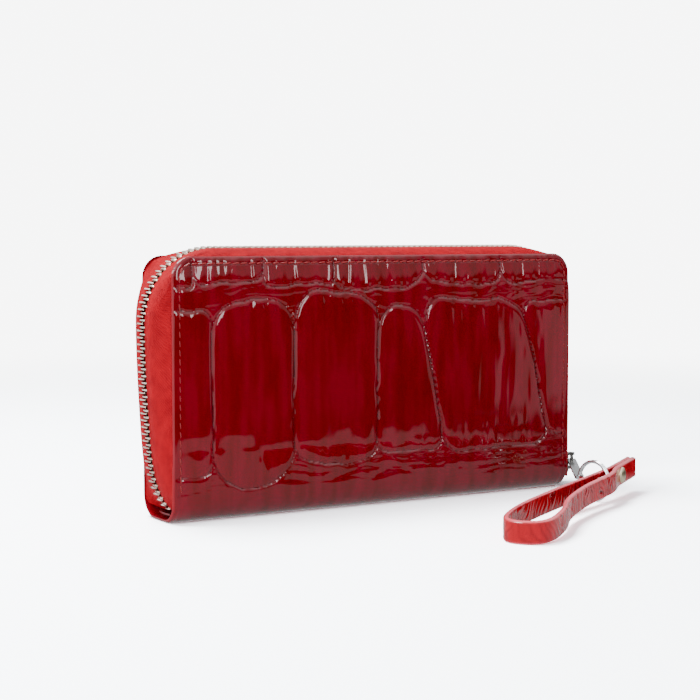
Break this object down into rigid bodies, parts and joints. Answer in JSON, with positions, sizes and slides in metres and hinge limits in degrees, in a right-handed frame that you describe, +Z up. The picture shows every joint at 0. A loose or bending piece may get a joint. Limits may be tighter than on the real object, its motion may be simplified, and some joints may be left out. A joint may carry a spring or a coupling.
{
  "type": "zip around wallet",
  "caption": "Long zip around wallet in glossy embossed leather, standing on its spine, with a ribbed wrist strap looped through a ring on the zip pull.",
  "frame": {"origin": "middle of the spine's flat foot, on the surface the wallet stands on", "axes": "+X along the spine towards the zip slider's resting end, -Y towards the front cover, +Z up"},
  "size_m": [0.207, 0.1275, 0.1038],
  "materials": {
    "cover_patent_leather": "glossy patent lacquer over an embossed crocodile grain, deep red",
    "strap_patent_leather": "glossy patent lacquer over a ribbed grain, bright red",
    "inner_leather": "smooth grain leather, red",
    "lining_fabric": "fine twill lining, dark red",
    "stiffener_board": "pressed fibre board",
    "zip_tape": "woven polyester tape, bright red",
    "zip_metal": "polished pale gold plating",
    "coin_zip_resin": "moulded resin coil, red",
    "slider_metal": "polished plated zinc",
    "pull_metal": "polished plated steel",
    "ring_steel": "polished nickel-plated spring steel",
    "rivet_metal": "polished pale gold plating"
  },
  "bodies": {
    "spine": {"spine_leather": "cover_patent_leather", "spine_lining": "lining_fabric", "coin_pocket_bag": "lining_fabric", "coin_tape_front": "lining_fabric", "coin_tape_back": "lining_fabric", "coin_teeth_front": "coin_zip_resin", "coin_teeth_back": "coin_zip_resin", "left_tail_tape": "zip_tape", "left_tail_teeth": "zip_metal", "left_tail_tab": "cover_patent_leather", "right_tail_tape": "zip_tape", "right_tail_teeth": "zip_metal", "right_tail_tab": "cover_patent_leather"},
    "front_cover": {"front_cover_leather": "cover_patent_leather", "front_cover_board": "stiffener_board", "front_cover_lining": "lining_fabric", "front_edge_band": "inner_leather", "front_zip_tape": "zip_tape", "front_zip_teeth": "zip_metal", "front_card_slots_1": "inner_leather", "front_card_slots_2": "inner_leather", "front_card_slots_3": "inner_leather", "front_card_slots_4": "inner_leather"},
    "back_cover": {"back_cover_leather": "cover_patent_leather", "back_cover_board": "stiffener_board", "back_cover_lining": "lining_fabric", "back_edge_band": "inner_leather", "back_zip_tape": "zip_tape", "back_zip_teeth": "zip_metal", "back_card_slots_1": "inner_leather", "back_card_slots_2": "inner_leather", "back_card_slots_3": "inner_leather", "back_card_slots_4": "inner_leather"},
    "zip_slider": {"zip_slider": "slider_metal"},
    "pull": {"slider_pull": "pull_metal"},
    "ring": {"split_ring": "ring_steel"},
    "strap": {"wrist_strap": "strap_patent_leather", "strap_rivet": "rivet_metal"},
    "coin_slider": {"coin_slider": "slider_metal"},
    "coin_pull": {"coin_pull": "slider_metal"}
  },
  "joints": [
    {"name": "front_cover_open", "type": "hinge", "parent": "spine", "child": "front_cover", "pos_m": [0, -0.0137, 0.0095], "axis": [1, 0, 0], "range_deg": [0, 60]},
    {"name": "back_cover_open", "type": "hinge", "parent": "spine", "child": "back_cover", "pos_m": [0, 0.0137, 0.0095], "axis": [-1, 0, 0], "range_deg": [0, 60]},
    {"name": "zip_slide", "type": "slide", "parent": "spine", "child": "zip_slider", "axis": [0, 0, 1], "range_m": [0, 0.06]},
    {"name": "pull_swing", "type": "hinge", "parent": "zip_slider", "child": "pull", "pos_m": [0.1056, 0, 0.009], "axis": [0, 0, 1], "range_deg": [0, 180]},
    {"name": "ring_swing", "type": "hinge", "parent": "pull", "child": "ring", "pos_m": [0.07699, -0.04118, 0.0084], "axis": [0, 0, 1], "range_deg": [-15, 20]},
    {"name": "strap_swing", "type": "hinge", "parent": "ring", "child": "strap", "pos_m": [0.07943, -0.05659, 0.0084], "axis": [0, 0, 1], "range_deg": [-20, 15]},
    {"name": "coin_zip_slide", "type": "slide", "parent": "spine", "child": "coin_slider", "axis": [1, 0, 0], "range_m": [0, 0.14]},
    {"name": "coin_pull_flip", "type": "hinge", "parent": "coin_slider", "child": "coin_pull", "pos_m": [-0.073, 0, 0.089], "axis": [0, -1, 0], "range_deg": [0, 170]}
  ]
}
